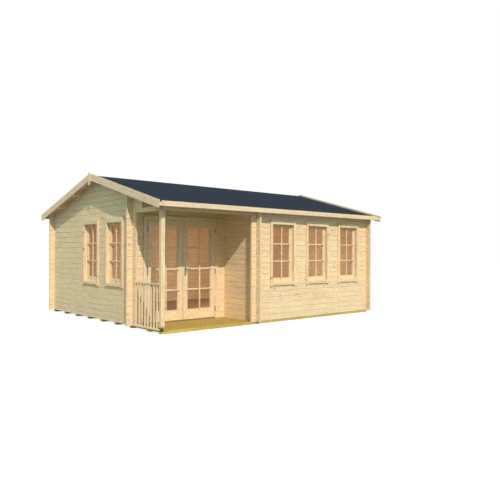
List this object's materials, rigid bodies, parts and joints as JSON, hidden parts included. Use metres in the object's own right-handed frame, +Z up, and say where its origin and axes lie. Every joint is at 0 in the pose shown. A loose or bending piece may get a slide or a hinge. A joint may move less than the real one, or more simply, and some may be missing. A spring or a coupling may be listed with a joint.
{
  "type": "garden house",
  "caption": "Log garden house with a low felted gable roof, an inset corner porch on a post, glazed double doors and barred windows.",
  "frame": {"origin": "on the ground, under the middle of the house", "axes": "+X along the front to the right, +Y from front to back, +Z up"},
  "size_m": [6.172, 5.294, 3.035],
  "materials": {
    "wall_logs": "planed pale spruce logs",
    "planed_spruce": "planed pale spruce",
    "treated_timber": "pressure-treated ochre timber",
    "roof_felt": "dark mineral bitumen felt",
    "clear_glass": "clear float glass",
    "hinge_steel": "zinc plated",
    "handle_metal": "satin blue-grey metal",
    "foot_metal": "dark galvanised"
  },
  "bodies": {
    "house": {"front_wall": "wall_logs", "front_wall_piers": "wall_logs", "front_top_logs": "wall_logs", "back_wall": "wall_logs", "left_gable": "wall_logs", "left_gable_piers": "wall_logs", "right_gable": "wall_logs", "porch_side_wall": "wall_logs", "porch_back_wall_left": "wall_logs", "porch_back_wall_right": "wall_logs", "porch_back_wall_over": "wall_logs", "log_ends": "wall_logs", "gable_bracket_logs": "wall_logs", "porch_side_beam": "planed_spruce", "porch_post": "planed_spruce", "porch_railing": "planed_spruce", "side_purlins": "planed_spruce", "ridge_purlin": "planed_spruce", "roof_boards_front": "planed_spruce", "roof_boards_back": "planed_spruce", "barge_boards_front": "planed_spruce", "barge_boards_back": "planed_spruce", "eaves_slats": "planed_spruce", "eaves_strips": "planed_spruce", "finials": "planed_spruce", "window_jambs": "planed_spruce", "window_heads_and_sills": "planed_spruce", "window_sash_stiles": "planed_spruce", "window_sash_rails": "planed_spruce", "door_jambs": "planed_spruce", "door_head": "planed_spruce", "door_threshold": "planed_spruce", "door_side_casings": "planed_spruce", "door_head_casing": "planed_spruce", "room_floor_back": "planed_spruce", "room_floor_front": "planed_spruce", "floor_bearers": "treated_timber", "porch_deck": "treated_timber", "frame_hinges": "hinge_steel", "post_foot": "foot_metal", "roof_felt_front": "roof_felt", "roof_felt_back": "roof_felt", "window_panes": "clear_glass"},
    "left_leaf": {"left_leaf_stiles": "planed_spruce", "left_leaf_rails": "planed_spruce", "left_leaf_glass": "clear_glass", "left_leaf_hinges": "hinge_steel"},
    "right_leaf": {"right_leaf_stiles": "planed_spruce", "right_leaf_rails": "planed_spruce", "right_leaf_glass": "clear_glass", "right_leaf_hinges": "hinge_steel", "door_handles": "handle_metal"}
  },
  "joints": [
    {"name": "left_door", "type": "hinge", "parent": "house", "child": "left_leaf", "pos_m": [-2.5555, -1.42, 1], "axis": [0, 0, -1], "range_deg": [0, 100]},
    {"name": "right_door", "type": "hinge", "parent": "house", "child": "right_leaf", "pos_m": [-0.9645, -1.42, 1], "axis": [0, 0, 1], "range_deg": [0, 100]}
  ]
}
